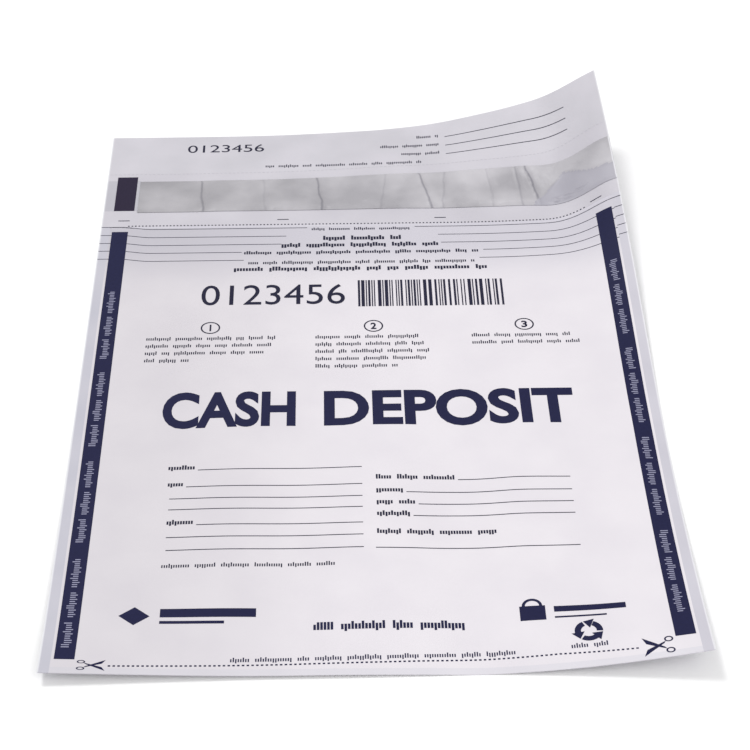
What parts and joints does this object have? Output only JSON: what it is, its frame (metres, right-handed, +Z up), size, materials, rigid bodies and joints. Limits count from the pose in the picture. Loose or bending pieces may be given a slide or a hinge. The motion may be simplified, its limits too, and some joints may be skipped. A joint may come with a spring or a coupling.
{
  "type": "tamper-evident cash deposit bag",
  "caption": "Flat clear-film cash deposit bag with welded sides, opening mouth, fold-over lip with peel-off security tape, and tear-off receipt.",
  "frame": {"origin": "centre of the bag's box on the surface that it lies on", "axes": "+X across the bag to its right, +Y from the bottom edge to the receipt, +Z up out of the printed front"},
  "size_m": [0.2286, 0.343, 0.0348],
  "materials": {
    "back_film": "soft gloss, milky clear",
    "welded_film": "soft gloss",
    "front_film": "soft gloss, milky clear",
    "lip_film": "soft gloss, milky clear",
    "receipt_film": "soft gloss, milky clear",
    "tape_film": "satin",
    "adhesive": "tacky, satin",
    "silver_liner": "silvery satin, wrinkled",
    "navy_ink": "printed ink, satin",
    "eye_mark_ink": "printed ink, satin"
  },
  "bodies": {
    "bag": {"back_panel": "back_film", "left_side_weld": "welded_film", "right_side_weld": "welded_film", "bottom_weld": "welded_film"},
    "front": {"front_panel": "front_film", "left_seal_band": "navy_ink", "right_seal_band": "navy_ink"},
    "lip": {"closure_lip": "lip_film", "tamper_tape": "tape_film", "adhesive_strip": "adhesive", "tear_line": "lip_film", "eye_mark": "eye_mark_ink"},
    "liner": {"release_liner": "silver_liner"},
    "receipt": {"receipt": "receipt_film"}
  },
  "joints": [
    {"name": "mouth_open", "type": "hinge", "parent": "bag", "child": "front", "pos_m": [0, -0.1683, 0.00025], "axis": [-1, 0, 0], "range_deg": [-6, 0]},
    {"name": "lip_fold", "type": "hinge", "parent": "bag", "child": "lip", "pos_m": [0, 0.09855, 0.0004], "axis": [1, 0, 0], "range_deg": [0, 180], "deforming": ["closure_lip", "tamper_tape", "adhesive_strip", "tear_line", "release_liner", "receipt"]},
    {"name": "liner_peel", "type": "hinge", "parent": "lip", "child": "liner", "pos_m": [-0.0993, 0.1218, 0.0003], "axis": [0, 1, 0], "range_deg": [-150, 0]},
    {"name": "receipt_tear", "type": "slide", "parent": "lip", "child": "receipt", "axis": [0, 1, 0], "range_m": [0, 0.045]}
  ]
}
